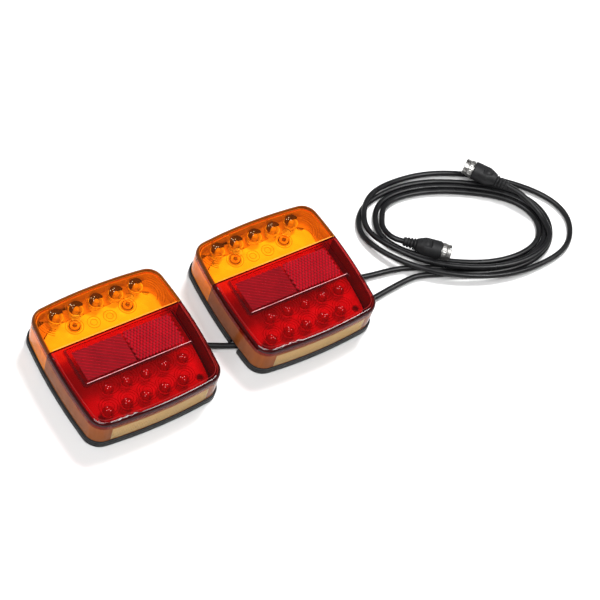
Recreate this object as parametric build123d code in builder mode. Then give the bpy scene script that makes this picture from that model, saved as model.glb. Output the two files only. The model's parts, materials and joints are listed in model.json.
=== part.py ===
"""Trailer tail light set: a pair of square LED lamps with their coiled leads and plugs.

Units are millimetres, +Z is up and the lamps lie on their backs with their lenses facing +Z.
The origin is on the floor midway between the two lamps. +X runs from the left lamp to the right
lamp and on to the coiled leads, and +Y points to the amber, upper side of both lamps.
"""
import math
import os
from collections import namedtuple

from build123d import *

os.makedirs("parts", exist_ok=True)

# ---------------------------------------------------------------- driving dimensions
LAMP_WIDTH = 105.0            # across the middle of the bowed sides
LAMP_LENGTH = 104.0
SIDE_BOW = 3.3                # how far each side bulges past its corners
CORNER_RADIUS = 12.0
FACE_HEIGHT = 28.0            # back of the lamp to the lens face
COLOUR_LINE = 15.2            # amber above this Y of the lamp, red below it

RIM_HEIGHT = 5.0              # black rim of the base below the lens
RIM_OVERHANG = 1.1
RIM_BAND = 6.1                # width of the ring that stands on the floor
RECESS_DEPTH = 5.2            # hollow in the back that the leads run through
FLOOR_TOP = 7.5
WALL_TOP = 9.6                # locating wall inside the lens skirt
GASKET = 0.8

LENS_WALL = 2.2
LENS_FACE = 2.4
LENS_EDGE_ROUND = 3.0
LENS_FIT = 0.15               # side gap between the locating wall and the lens

WINDOW_HALF_WIDTH = 37.0
WINDOW_BOTTOM = 6.6
WINDOW_TOP = 20.0

REFLECTOR_WIDTH = 86.0        # reflex reflector at its foot
REFLECTOR_LENGTH = 32.0
REFLECTOR_Y = -3.0
REFLECTOR_THICK = 2.5
REFLECTOR_BEVEL = 1.9

POST_X = 20.6                 # posts that hold the lens down
POST_Y = 33.0
POST_RADIUS = 3.5
POST_BORE = 1.5
POST_FOOT = 7.8

MOUNT_SPACING = 45.0          # M5 inserts in the back
MOUNT_Y = 12.0
INSERT_RADIUS = 3.5
INSERT_BORE = 2.1
INSERT_LENGTH = 8.0
BOSS_RADIUS = 6.0
BOSS_TOP = 10.5

BOARD_BOTTOM = 12.4
BOARD_THICK = 1.6
BOARD_TOP = BOARD_BOTTOM + BOARD_THICK
BOARD_INSET = 6.2
BOARD_POST = 38.0             # X and Y of the four posts under the board
TRAY_THICK = 1.5

LED_RADIUS = 2.5
LED_HEIGHT = 8.4
AMBER_PITCH = 15.5
AMBER_Y = 42.0
RED_PITCH = 14.5
RED_ROWS = ((-21.5, 4.0), (-36.5, -4.0))   # Y of the row, sideways shift of the row

CORD_RADIUS = 2.1
CORD_Z = 2.15                 # centre height of a lead that lies on the floor
GLAND_Y = -6.0
GLAND_Z = 5.0
GLAND_NOSE = 29.0             # where the lead comes out of its grommet

COIL_CENTRE = (228.0, -1.0)
COIL_TILT = -30.0
COIL_OUTER = (93.0, 53.5)     # half lengths of the oval outer edge
COIL_INNER = (56.5, 27.5)     # half lengths of the oval hole
COIL_HOLE_SHIFT = (-3.0, -2.4)
COIL_HEIGHT = 9.2

RELIEF_LENGTH = 10.0          # plug, measured from the end of its strain relief
MOULDING_LENGTH = 28.5
PLUG_LENGTH = 36.0
PLUG_RADIUS = 7.0
RING_RADIUS = 6.4
RING_GAP = 0.3                # end play of the coupling ring
SLEEVE_RADIUS = 5.42          # sleeve that the coupling ring turns on
RING_CLEARANCE = 0.08
COLLAR_RADIUS = 6.0
SHELL_BORE = 4.8
RING_END = 32.4
INSERT_FACE = 31.4

Lamp = namedtuple("Lamp", "name x y notches")
Plug = namedtuple("Plug", "name start heading")

# notches are (side, Y of the lamp, width): +1 is the right side of the rim
LAMPS = (
    Lamp("left", -65.25, -1.28, ((1, -8.2, 8.0),)),
    Lamp("right", 65.25, 1.28, ((1, -8.2, 8.0), (1, -31.0, 8.0), (-1, -22.9, 9.0))),
)
PLUGS = (
    Plug("left", (275.2, 9.9, 12.0), (-0.577, 0.817)),
    Plug("right", (173.8, 2.2, 7.0), (0.759, -0.652)),
)

# each lead from its grommet to the coil
LEAD_ROUTES = {
    "left": [
        (-36.25, -7.28, 5.0), (-29.05, -7.28, 5.0), (-21.05, -7.9, 2.6), (-9.25, -10.2, CORD_Z),
        (11.8, -20.8, CORD_Z), (34.0, -28.5, CORD_Z), (66.0, -32.0, CORD_Z), (98.0, -31.4, CORD_Z),
        (126.0, -29.1, CORD_Z), (147.0, -26.6, CORD_Z), (164.0, -25.4, CORD_Z), (175.0, -26.2, CORD_Z),
    ],
    "right": [
        (94.25, -4.72, 5.0), (101.45, -4.72, 5.0), (109.45, -5.4, 2.6), (121.5, -8.0, CORD_Z),
        (137.0, -11.2, CORD_Z), (152.0, -13.2, CORD_Z), (162.5, -15.6, CORD_Z), (170.5, -18.8, CORD_Z),
    ],
}
# each lead from the end of its plug back into the coil
TAIL_ROUTES = {
    "left": [
        (275.2, 9.9, 12.0), (279.24, 4.18, 12.0), (283.2, -4.4, 10.4), (286.6, -13.4, 8.4), (288.2, -22.5, 6.6),
    ],
    "right": [
        (173.8, 2.2, 7.0), (170.39, 5.13, 7.0), (167.99, 8.97, 6.7), (166.8, 13.3, 6.2), (167.0, 18.2, 5.6),
        (168.7, 23.4, 5.0),
    ],
}


# ---------------------------------------------------------------- helpers
def level(lamp, height):
    """Horizontal plane of a lamp at a height above its back."""
    return Plane((lamp.x, lamp.y, height))


def outline(inset):
    """Bowed square outline of the lamp, moved inwards by inset."""
    half_width = LAMP_WIDTH / 2 - inset
    half_length = LAMP_LENGTH / 2 - inset
    corner_x = half_width - SIDE_BOW
    corner_y = half_length - SIDE_BOW
    with BuildLine() as edge:
        ThreePointArc((corner_x, -corner_y), (half_width, 0), (corner_x, corner_y))
        ThreePointArc((corner_x, corner_y), (0, half_length), (-corner_x, corner_y))
        ThreePointArc((-corner_x, corner_y), (-half_width, 0), (-corner_x, -corner_y))
        ThreePointArc((-corner_x, -corner_y), (0, -half_length), (corner_x, -corner_y))
    face = make_face(edge.edges())
    fillet(face.vertices(), CORNER_RADIUS - inset)


def slab(lamp, bottom, top, inset, mode=Mode.ADD):
    """Plate or pocket with the lamp's outline, between two heights."""
    with BuildSketch(level(lamp, bottom)) as profile:
        outline(inset)
    extrude(profile.sketch, amount=top - bottom, mode=mode)


def discs(lamp, bottom, top, radius, places, mode=Mode.ADD):
    """Round posts or holes at several places of a lamp, between two heights."""
    with BuildSketch(level(lamp, bottom)) as profile:
        with Locations(*places):
            Circle(radius)
    extrude(profile.sketch, amount=top - bottom, mode=mode)


def block(lamp, low, high, mode=Mode.ADD):
    """Square block or pocket of a lamp between two opposite corners."""
    with BuildSketch(level(lamp, low[2])) as profile:
        with Locations(((low[0] + high[0]) / 2, (low[1] + high[1]) / 2)):
            Rectangle(high[0] - low[0], high[1] - low[1])
    extrude(profile.sketch, amount=high[2] - low[2], mode=mode)


def save(part, name):
    """Label a finished piece and write its STEP file."""
    part.label = name
    export_step(part, f"parts/{name}.step")


POSTS = [(-POST_X, POST_Y), (POST_X, POST_Y)]
INSERTS = [(-MOUNT_SPACING / 2, MOUNT_Y), (MOUNT_SPACING / 2, MOUNT_Y)]
BOARD_POSTS = [(sx * BOARD_POST, sy * BOARD_POST) for sx in (-1, 1) for sy in (-1, 1)]
AMBER_PLACES = [(AMBER_PITCH * i, AMBER_Y) for i in range(-2, 3)]
RED_PLACES = [(RED_PITCH * i + shift, y) for y, shift in RED_ROWS for i in range(-2, 3)]


# ---------------------------------------------------------------- base and what it holds
def make_base_housing(lamp):
    """Black base: rim, floor, locating wall, bosses, board posts and the lead's entry."""
    with BuildPart() as base_housing:
        slab(lamp, 0, RIM_HEIGHT, -RIM_OVERHANG)
        rim_edges = base_housing.edges().group_by(Axis.Z)
        chamfer(rim_edges[0], 0.6)
        fillet(base_housing.edges().group_by(Axis.Z)[-1], 0.8)
        slab(lamp, RIM_HEIGHT, WALL_TOP, LENS_WALL + LENS_FIT)
        slab(lamp, FLOOR_TOP, WALL_TOP, LENS_WALL + LENS_FIT + 1.8, mode=Mode.SUBTRACT)
        slab(lamp, 0, RECESS_DEPTH, RIM_BAND - RIM_OVERHANG, mode=Mode.SUBTRACT)
        discs(lamp, 0, BOSS_TOP, BOSS_RADIUS, INSERTS)
        discs(lamp, 0, INSERT_LENGTH, INSERT_RADIUS, INSERTS, mode=Mode.SUBTRACT)
        discs(lamp, FLOOR_TOP, BOARD_BOTTOM, 3.0, BOARD_POSTS)
        discs(lamp, FLOOR_TOP - 1.0, BOARD_BOTTOM, 1.1, BOARD_POSTS, mode=Mode.SUBTRACT)
        discs(lamp, RECESS_DEPTH, FLOOR_TOP, 1.7, POSTS, mode=Mode.SUBTRACT)
        # hood over the lead's entry: a raised roof, then a socket for the grommet
        block(lamp, (6.0, GLAND_Y - 7.5, 0.4), (48.4, GLAND_Y + 7.5, 11.4))
        block(lamp, (22.0, GLAND_Y - 6.0, 0.0), (47.0, GLAND_Y + 6.0, 10.0), mode=Mode.SUBTRACT)
        with BuildSketch(Plane((lamp.x + 9.0, lamp.y + GLAND_Y, GLAND_Z), z_dir=(1, 0, 0))):
            Circle(4.0)
        extrude(amount=13.0, mode=Mode.SUBTRACT)
        for side, y, width in lamp.notches:
            inner, outer = sorted((side * 44.0, side * 60.0))
            block(lamp, (inner, y - width / 2, -1.0), (outer, y + width / 2, RIM_HEIGHT), mode=Mode.SUBTRACT)
    return base_housing.part


def make_base_gasket(lamp):
    """Flat seal between the rim and the lens skirt."""
    with BuildPart() as base_gasket:
        slab(lamp, RIM_HEIGHT, RIM_HEIGHT + GASKET, 0)
        slab(lamp, RIM_HEIGHT, RIM_HEIGHT + GASKET, LENS_WALL, mode=Mode.SUBTRACT)
    return base_gasket.part


def make_mount_inserts(lamp):
    """Two brass M5 inserts, flush with the back."""
    with BuildPart() as mount_inserts:
        discs(lamp, 0, INSERT_LENGTH, INSERT_RADIUS, INSERTS)
        discs(lamp, 0, INSERT_LENGTH, INSERT_BORE, INSERTS, mode=Mode.SUBTRACT)
    return mount_inserts.part


def make_cable_grommet(lamp):
    """Rubber grommet that seals the lead and eases its bend."""
    with BuildPart() as cable_grommet:
        with BuildSketch(Plane((lamp.x, lamp.y + GLAND_Y, GLAND_Z), x_dir=(1, 0, 0), z_dir=(0, -1, 0))):
            with BuildLine():
                Polyline(
                    (10.0, 0), (10.0, 4.0), (22.0, 4.0), (22.0, 4.6), (24.0, 4.6),
                    (24.0, 4.0), (GLAND_NOSE, 2.9), (GLAND_NOSE, 0), close=True,
                )
            make_face()
        revolve(axis=Axis((lamp.x, lamp.y + GLAND_Y, GLAND_Z), (1, 0, 0)))
    return cable_grommet.part


# ---------------------------------------------------------------- board and lights
def make_circuit_board(lamp):
    """White board that carries the diodes."""
    with BuildPart() as circuit_board:
        slab(lamp, BOARD_BOTTOM, BOARD_TOP, BOARD_INSET)
        discs(lamp, BOARD_BOTTOM, BOARD_TOP, POST_RADIUS + 0.7, POSTS, mode=Mode.SUBTRACT)
        discs(lamp, BOARD_BOTTOM, BOARD_TOP, 1.3, BOARD_POSTS, mode=Mode.SUBTRACT)
    return circuit_board.part


def make_board_screws(lamp):
    """Four pan head screws that hold the board on its posts."""
    with BuildPart() as board_screws:
        discs(lamp, FLOOR_TOP, BOARD_TOP, 1.05, BOARD_POSTS)
        discs(lamp, BOARD_TOP, BOARD_TOP + 1.3, 2.2, BOARD_POSTS)
        fillet(board_screws.edges().group_by(Axis.Z)[-1], 0.6)
    return board_screws.part


def make_board_resistors(lamp):
    """Row of chip resistors between the tray feet, under the board."""
    with BuildPart() as board_resistors:
        with BuildSketch(level(lamp, BOARD_BOTTOM - 1.0)):
            with GridLocations(7.0, 9.0, 5, 2):
                Rectangle(3.2, 1.6)
        extrude(amount=1.0)
    return board_resistors.part


def led_group(lamp, places):
    """Dome-topped 5 mm diodes standing on the board."""
    with BuildPart() as leds:
        discs(lamp, BOARD_TOP, BOARD_TOP + 1.0, LED_RADIUS + 0.4, places)
        discs(lamp, BOARD_TOP + 1.0, BOARD_TOP + LED_HEIGHT, LED_RADIUS, places)
        fillet(leds.edges().group_by(Axis.Z)[-1], LED_RADIUS - 0.3)
    return leds.part


def make_plate_leds(lamp):
    """Three 3 mm white diodes under the board's lower edge, aimed at the plate window."""
    with BuildPart() as plate_leds:
        with BuildSketch(Plane((lamp.x, lamp.y - 39.0, 10.7), x_dir=(1, 0, 0), z_dir=(0, -1, 0))):
            with GridLocations(22.0, 1.0, 3, 1):
                Circle(1.5)
        extrude(amount=7.0)
        fillet(plate_leds.edges().group_by(Axis.Y)[0], 1.3)
    return plate_leds.part


def make_reflector_tray(lamp):
    """White tray over the board with a cup round every diode."""
    tray_top = BOARD_TOP + TRAY_THICK
    with BuildPart() as reflector_tray:
        slab(lamp, BOARD_TOP, tray_top, BOARD_INSET)
        for places, height, flare in ((AMBER_PLACES, 5.0, 5.3), (RED_PLACES, 3.6, 4.8)):
            with Locations(*[(lamp.x + x, lamp.y + y, tray_top + height / 2) for x, y in places]):
                Cone(3.8, flare, height)
            with Locations(*[(lamp.x + x, lamp.y + y, tray_top + height / 2) for x, y in places]):
                Cone(3.2, flare - 0.5, height, mode=Mode.SUBTRACT)
            discs(lamp, BOARD_TOP, tray_top, 3.2, places, mode=Mode.SUBTRACT)
        discs(lamp, BOARD_TOP, tray_top, POST_RADIUS + 0.7, POSTS, mode=Mode.SUBTRACT)
        discs(lamp, BOARD_TOP, tray_top, 2.8, BOARD_POSTS, mode=Mode.SUBTRACT)
    return reflector_tray.part


# ---------------------------------------------------------------- lens
def lens_shell(lamp):
    """Whole lens cap: skirt and face in one, before it is cut into its colours."""
    skirt_foot = RIM_HEIGHT + GASKET
    slab(lamp, skirt_foot, FACE_HEIGHT, 0)
    slab(lamp, skirt_foot, FACE_HEIGHT - LENS_FACE, LENS_WALL, mode=Mode.SUBTRACT)


def window_block(lamp, mode):
    """Block that takes the plate window out of the lower side of the skirt."""
    low = (-WINDOW_HALF_WIDTH, -LAMP_LENGTH / 2 - 2.0, WINDOW_BOTTOM)
    high = (WINDOW_HALF_WIDTH, -LAMP_LENGTH / 2 + SIDE_BOW + LENS_WALL + 1.0, WINDOW_TOP)
    block(lamp, low, high, mode=mode)


def make_amber_lens(lamp):
    """Upper part of the lens, with the two posts that screw to the base."""
    with BuildPart() as amber_lens:
        lens_shell(lamp)
        fillet(amber_lens.edges().group_by(Axis.Z)[-1], LENS_EDGE_ROUND)
        split(bisect_by=Plane((lamp.x, lamp.y + COLOUR_LINE, 0), z_dir=(0, 1, 0)), keep=Keep.TOP)
        discs(lamp, POST_FOOT, FACE_HEIGHT - LENS_FACE, POST_RADIUS, POSTS)
        discs(lamp, POST_FOOT, FACE_HEIGHT - LENS_FACE - 4.0, POST_BORE, POSTS, mode=Mode.SUBTRACT)
    return amber_lens.part


def make_red_lens(lamp):
    """Lower part of the lens, open at the bottom side for the plate window."""
    with BuildPart() as red_lens:
        lens_shell(lamp)
        fillet(red_lens.edges().group_by(Axis.Z)[-1], LENS_EDGE_ROUND)
        split(bisect_by=Plane((lamp.x, lamp.y + COLOUR_LINE, 0), z_dir=(0, 1, 0)), keep=Keep.BOTTOM)
        window_block(lamp, Mode.SUBTRACT)
    return red_lens.part


def make_plate_window(lamp):
    """Clear strip in the lower side that lights the number plate."""
    with BuildPart() as plate_window:
        lens_shell(lamp)
        window_block(lamp, Mode.INTERSECT)
    return plate_window.part


def make_reflex_reflector(lamp):
    """Raised rectangular retroreflector with bevelled sides, bonded to the red face."""
    with BuildPart() as reflex_reflector:
        with BuildSketch(level(lamp, FACE_HEIGHT)):
            with Locations((0, REFLECTOR_Y)):
                RectangleRounded(REFLECTOR_WIDTH, REFLECTOR_LENGTH, 2.4)
        with BuildSketch(level(lamp, FACE_HEIGHT + REFLECTOR_THICK)):
            with Locations((0, REFLECTOR_Y)):
                RectangleRounded(
                    REFLECTOR_WIDTH - 2 * REFLECTOR_BEVEL, REFLECTOR_LENGTH - 2 * REFLECTOR_BEVEL, 1.2
                )
        loft()
    return reflex_reflector.part


def make_lens_screws(lamp):
    """Two self-tapping screws from the back into the lens posts."""
    with BuildPart() as lens_screws:
        discs(lamp, RECESS_DEPTH - 1.8, RECESS_DEPTH, 3.0, POSTS)
        discs(lamp, RECESS_DEPTH, RECESS_DEPTH + 12.0, POST_BORE - 0.05, POSTS)
        with BuildSketch(level(lamp, RECESS_DEPTH - 1.8)):
            with Locations(*POSTS):
                Rectangle(3.6, 0.8)
                Rectangle(0.8, 3.6)
        extrude(amount=0.9, mode=Mode.SUBTRACT)
    return lens_screws.part


# ---------------------------------------------------------------- leads, coil and plugs
def cord_tube(name, route):
    """Round lead along straight runs joined by arcs. Prints its radii and its length."""
    points = [Vector(*point) for point in route]
    radii = []
    for before, here, after in zip(points, points[1:], points[2:]):
        half_turn = math.radians((here - before).get_angle(after - here)) / 2
        shorter = min((here - before).length, (after - here).length)
        radii.append(0.45 * shorter / math.tan(half_turn))
    with BuildLine() as path:
        FilletPolyline(*points, radius=radii)
    with BuildPart() as tube:
        with BuildSketch(Plane(points[0], z_dir=(points[1] - points[0]).normalized())):
            Circle(CORD_RADIUS)
        sweep(path=path.wires()[0])
    length = path.wires()[0].length
    expected = math.pi * CORD_RADIUS**2 * length
    print(f"{name}: length {length:.1f} mm, volume ratio {tube.part.volume / expected:.4f}, radii",
          [round(radius, 1) for radius in radii])
    return tube.part


def plug_plane(plug, distance):
    """Plane across a plug, at a distance from the end of its strain relief."""
    along = Vector(plug.heading[0], plug.heading[1], 0).normalized()
    across = Vector(0, 0, 1).cross(along)
    return Plane(Vector(*plug.start) + along * distance, x_dir=across, z_dir=along)


def ring_of(plug, begin, end, radius, mode=Mode.ADD):
    """Round length of a plug between two distances along it."""
    with BuildSketch(plug_plane(plug, begin)) as profile:
        Circle(radius)
    extrude(profile.sketch, amount=end - begin, mode=mode)


def make_lead_coil():
    """Outer shape of both coiled leads, with a seat for each plug."""
    centre = Plane((COIL_CENTRE[0], COIL_CENTRE[1], 0)).rotated((0, 0, COIL_TILT))
    with BuildPart() as lead_coil:
        with BuildSketch(centre):
            Ellipse(*COIL_OUTER)
            with Locations(COIL_HOLE_SHIFT):
                Ellipse(*COIL_INNER, mode=Mode.SUBTRACT)
        extrude(amount=COIL_HEIGHT)
        chamfer(lead_coil.edges().group_by(Axis.Z)[-1], 2.0)
        for plug, seat_floor in ((PLUGS[0], CORD_Z + CORD_RADIUS), (PLUGS[1], -1.0)):
            seat_middle = plug_plane(plug, PLUG_LENGTH / 2).origin
            with BuildSketch(Plane((seat_middle.X, seat_middle.Y, seat_floor),
                                   x_dir=(plug.heading[0], plug.heading[1], 0))):
                Rectangle(PLUG_LENGTH + 1.0, 2 * PLUG_RADIUS + 0.8)
            extrude(amount=20.0, mode=Mode.SUBTRACT)
    return lead_coil.part


def make_plug_body(plug):
    """Moulded plug body with two thumb flats and a ribbed strain relief."""
    with BuildPart() as plug_body:
        ring_of(plug, 0, RELIEF_LENGTH, 3.0)
        for rib in range(4):
            ring_of(plug, 0.6 + 2.4 * rib, 2.0 + 2.4 * rib, 3.5 + 0.25 * rib)
        with BuildSketch(plug_plane(plug, RELIEF_LENGTH)):
            Circle(4.6)
        with BuildSketch(plug_plane(plug, RELIEF_LENGTH + 6.5)):
            Circle(PLUG_RADIUS)
        loft()
        ring_of(plug, RELIEF_LENGTH + 6.5, MOULDING_LENGTH, PLUG_RADIUS)
        fillet(plug_body.edges().filter_by(GeomType.CIRCLE).sort_by(Edge.length)[-1:], 0.6)
        for side in (-1, 1):
            with BuildSketch(plug_plane(plug, RELIEF_LENGTH + 3.0)):
                with Locations((0, side * (PLUG_RADIUS + 1.4))):
                    Rectangle(20.0, 5.6)
            extrude(amount=8.5, mode=Mode.SUBTRACT)
    return plug_body.part


def make_plug_shell(plug):
    """Metal sleeve and collar of the plug, with a keyway in the collar's mouth."""
    with BuildPart() as plug_shell:
        ring_of(plug, MOULDING_LENGTH, PLUG_LENGTH, SLEEVE_RADIUS)
        ring_of(plug, RING_END + RING_GAP, PLUG_LENGTH, COLLAR_RADIUS)
        ring_of(plug, MOULDING_LENGTH, PLUG_LENGTH, SHELL_BORE, mode=Mode.SUBTRACT)
        with BuildSketch(plug_plane(plug, PLUG_LENGTH - 2.0)):
            with Locations((0, COLLAR_RADIUS - 0.5)):
                Rectangle(2.0, 2.4)
        extrude(amount=2.5, mode=Mode.SUBTRACT)
    return plug_shell.part


def make_coupling_ring(plug):
    """Knurled ring that turns on the sleeve to lock the plug in its socket."""
    begin = MOULDING_LENGTH + RING_GAP
    with BuildPart() as coupling_ring:
        ring_of(plug, begin, RING_END, RING_RADIUS)
        ring_of(plug, begin, RING_END, SLEEVE_RADIUS + RING_CLEARANCE, mode=Mode.SUBTRACT)
        with BuildSketch(plug_plane(plug, begin)):
            with PolarLocations(RING_RADIUS + 0.15, 24):
                Circle(0.45)
        extrude(amount=RING_END - begin, mode=Mode.SUBTRACT)
    return coupling_ring.part


def make_plug_insert(plug):
    """Black insulator that holds the pins."""
    with BuildPart() as plug_insert:
        ring_of(plug, MOULDING_LENGTH, INSERT_FACE, SHELL_BORE)
    return plug_insert.part


def make_plug_pins(plug):
    """Four contact pins on a circle."""
    with BuildPart() as plug_pins:
        with BuildSketch(plug_plane(plug, INSERT_FACE)):
            with PolarLocations(2.6, 4, start_angle=45):
                Circle(0.55)
        extrude(amount=PLUG_LENGTH - 0.6 - INSERT_FACE)
        fillet(plug_pins.edges().filter_by(GeomType.CIRCLE), 0.15)
    return plug_pins.part


# ---------------------------------------------------------------- build every piece
LAMP_PIECES = {
    "base_housing": make_base_housing,
    "base_gasket": make_base_gasket,
    "mount_inserts": make_mount_inserts,
    "cable_grommet": make_cable_grommet,
    "circuit_board": make_circuit_board,
    "board_screws": make_board_screws,
    "board_resistors": make_board_resistors,
    "plate_leds": make_plate_leds,
    "reflector_tray": make_reflector_tray,
    "amber_lens": make_amber_lens,
    "red_lens": make_red_lens,
    "plate_window": make_plate_window,
    "reflex_reflector": make_reflex_reflector,
    "lens_screws": make_lens_screws,
}
PLUG_PIECES = {
    "plug_body": make_plug_body,
    "plug_shell": make_plug_shell,
    "coupling_ring": make_coupling_ring,
    "plug_insert": make_plug_insert,
    "plug_pins": make_plug_pins,
}

for lamp in LAMPS:
    for piece, make in LAMP_PIECES.items():
        save(make(lamp), f"{lamp.name}_{piece}")
    save(led_group(lamp, AMBER_PLACES), f"{lamp.name}_amber_leds")
    save(led_group(lamp, RED_PLACES), f"{lamp.name}_red_leds")

for plug in PLUGS:
    for piece, make in PLUG_PIECES.items():
        save(make(plug), f"{plug.name}_{piece}")
    save(cord_tube(f"{plug.name}_lead", LEAD_ROUTES[plug.name]), f"{plug.name}_lead")
    save(cord_tube(f"{plug.name}_lead_tail", TAIL_ROUTES[plug.name]), f"{plug.name}_lead_tail")

save(make_lead_coil(), "lead_coil")
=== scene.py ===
"""Finished look of the trailer tail light pair: lenses, optics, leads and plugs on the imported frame.

Every length is in metres; MM turns the drawing's millimetres into metres. The lamps lie on their
backs, +X runs from the left lamp to the coiled leads and +Y points to the amber side.
"""
import json
import math

import bmesh
import bpy
from mathutils import Matrix, Vector


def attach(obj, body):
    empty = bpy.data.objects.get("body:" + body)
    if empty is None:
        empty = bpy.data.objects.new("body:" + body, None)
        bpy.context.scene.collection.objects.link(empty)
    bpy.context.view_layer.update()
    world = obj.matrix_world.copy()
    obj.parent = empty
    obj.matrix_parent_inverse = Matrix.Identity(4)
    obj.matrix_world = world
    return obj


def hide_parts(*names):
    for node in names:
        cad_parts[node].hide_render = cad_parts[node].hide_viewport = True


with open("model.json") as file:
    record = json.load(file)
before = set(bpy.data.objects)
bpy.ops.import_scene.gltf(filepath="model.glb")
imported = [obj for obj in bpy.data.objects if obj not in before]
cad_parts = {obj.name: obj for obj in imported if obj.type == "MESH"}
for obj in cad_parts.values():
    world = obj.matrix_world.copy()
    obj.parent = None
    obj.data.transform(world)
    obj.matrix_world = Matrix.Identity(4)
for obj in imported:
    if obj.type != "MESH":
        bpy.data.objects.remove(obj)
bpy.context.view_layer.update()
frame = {"nodes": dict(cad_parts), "record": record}
nodes = frame["nodes"]

MM = 0.001
SIDES = ("left", "right")
UP = Vector((0, 0, 1))
LAMP_OFFSET = 65.25           # X of a lamp's middle on either side of the origin

# ---------------------------------------------------------------- camera, light and floor
CAMERA_PLACE = Vector((-534.0, -530.0, 1133.2)) * MM
CAMERA_FORWARD = Vector((0.4405, 0.3762, -0.8151)).normalized()
CAMERA_UP = Vector((0.3408, 0.7699, 0.5396))
CAMERA_LENS = 116.6           # millimetres, on a sensor 36 mm wide


def make_camera():
    """Long lens high above the near corner of the left lamp."""
    data = bpy.data.cameras.new("camera")
    data.sensor_width = 36.0
    data.lens = CAMERA_LENS
    data.clip_start = 0.05
    data.clip_end = 20.0
    camera = bpy.data.objects.new("camera", data)
    bpy.context.scene.collection.objects.link(camera)
    side = CAMERA_FORWARD.cross(CAMERA_UP).normalized()
    top = side.cross(CAMERA_FORWARD)
    turn = Matrix((side, top, -CAMERA_FORWARD)).transposed()
    camera.matrix_world = Matrix.Translation(CAMERA_PLACE) @ turn.to_4x4()
    bpy.context.scene.camera = camera


def make_softbox(name, place, target, size, power, width=None):
    """Area light that points at a target, square unless it has a width of its own."""
    data = bpy.data.lights.new(name, "AREA")
    data.size = width or size
    if width:
        data.shape = "RECTANGLE"
        data.size_y = size
    data.energy = power
    light = bpy.data.objects.new(name, data)
    bpy.context.scene.collection.objects.link(light)
    light.location = place
    light.rotation_mode = "QUATERNION"
    light.rotation_quaternion = (Vector(target) - Vector(place)).to_track_quat("-Z", "Y")
    return light


def make_studio():
    """Even surround, a key light behind the lamps and soft boxes over, before and beside them."""
    scene = bpy.context.scene
    scene.view_settings.view_transform = "Standard"
    world = bpy.data.worlds.new("studio")
    world.use_nodes = True
    background = world.node_tree.nodes["Background"]
    background.inputs["Color"].default_value = (1.0, 1.0, 1.0, 1.0)
    background.inputs["Strength"].default_value = 0.25
    scene.world = world
    middle = (0.08, 0.0, 0.0)
    key = make_softbox("key", (0.95, 0.72, 1.6), middle, 0.5, 76.0)
    key.visible_glossy = False    # the lens faces don't mirror it
    front = make_softbox("front", (0.78, -0.61, 1.3), middle, 0.4, 28.0, 1.0)
    front.visible_diffuse = False  # only draws a line on the round edges
    make_softbox("overhead", (-0.38, -0.26, 1.5), middle, 1.0, 26.0)
    make_softbox("near", (-1.05, -0.95, 1.7), middle, 0.25, 6.0)
    left = make_softbox("left", (-1.3, -0.75, 0.7), middle, 0.8, 16.0)
    left.visible_glossy = False


def make_floor():
    """Pale floor under everything."""
    bpy.ops.mesh.primitive_plane_add(size=8.0, location=(0.1, 0.0, -0.0002))
    floor = bpy.context.object
    floor.name = "floor"
    material = bpy.data.materials.new("floor")
    material.use_nodes = True
    shader = material.node_tree.nodes["Principled BSDF"]
    shader.inputs["Base Color"].default_value = (0.53, 0.53, 0.53, 1.0)
    shader.inputs["Roughness"].default_value = 0.85
    shader.inputs["Specular IOR Level"].default_value = 0.1
    floor.data.materials.append(material)


# ---------------------------------------------------------------- materials
def add_node(tree, kind, **inputs):
    """Shader node with some inputs set by name, spaces as underscores."""
    node = tree.nodes.new(kind)
    for socket, value in inputs.items():
        node.inputs[socket.replace("_", " ")].default_value = value
    return node


def new_material(name, **settings):
    """Principled material with its settings given by socket name, spaces as underscores."""
    material = bpy.data.materials.new(name)
    material.use_nodes = True
    shader = material.node_tree.nodes["Principled BSDF"]
    for socket, value in settings.items():
        shader.inputs[socket.replace("_", " ")].default_value = value
    return material


def feed(tree, value, socket):
    """Link a socket to another one, or set a fixed value on it."""
    if isinstance(value, bpy.types.NodeSocket):
        tree.links.new(value, socket)
    else:
        socket.default_value = value


def blend(tree, kind, factor, first, second):
    """Socket between two sockets or fixed values by a factor socket."""
    mix = tree.nodes.new("ShaderNodeMix")
    mix.data_type = kind
    tree.links.new(factor, mix.inputs["Factor"])
    feed(tree, first, mix.inputs["A"])
    feed(tree, second, mix.inputs["B"])
    return mix.outputs["Result"]


def mix_colours(tree, factor, first, second):
    """Colour between two fixed colours by a factor socket."""
    return blend(tree, "RGBA", factor, (*first, 1.0), (*second, 1.0))


def spread(tree, value, start, end, low=0.0, high=1.0):
    """Value socket mapped from start..end to low..high, clamped."""
    ranged = add_node(tree, "ShaderNodeMapRange", From_Min=start, From_Max=end, To_Min=low, To_Max=high)
    tree.links.new(value, ranged.inputs["Value"])
    return ranged.outputs["Result"]


def math_of(tree, operation, first, second=None):
    """Result of a math node on a socket and a number or a second socket."""
    node = tree.nodes.new("ShaderNodeMath")
    node.operation = operation
    tree.links.new(first, node.inputs[0])
    if isinstance(second, (int, float)):
        node.inputs[1].default_value = second
    elif second is not None:
        tree.links.new(second, node.inputs[1])
    return node.outputs[0]


def noise_of(tree, size, detail=3.0, stretch=(1.0, 1.0, 1.0)):
    """Noise of a size in metres, fixed to the object."""
    place = tree.nodes.new("ShaderNodeTexCoord")
    stretched = add_node(tree, "ShaderNodeMapping", Scale=stretch)
    noise = add_node(tree, "ShaderNodeTexNoise", Scale=1.0 / size, Detail=detail)
    tree.links.new(place.outputs["Object"], stretched.inputs["Vector"])
    tree.links.new(stretched.outputs["Vector"], noise.inputs["Vector"])
    return noise.outputs["Fac"]


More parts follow.
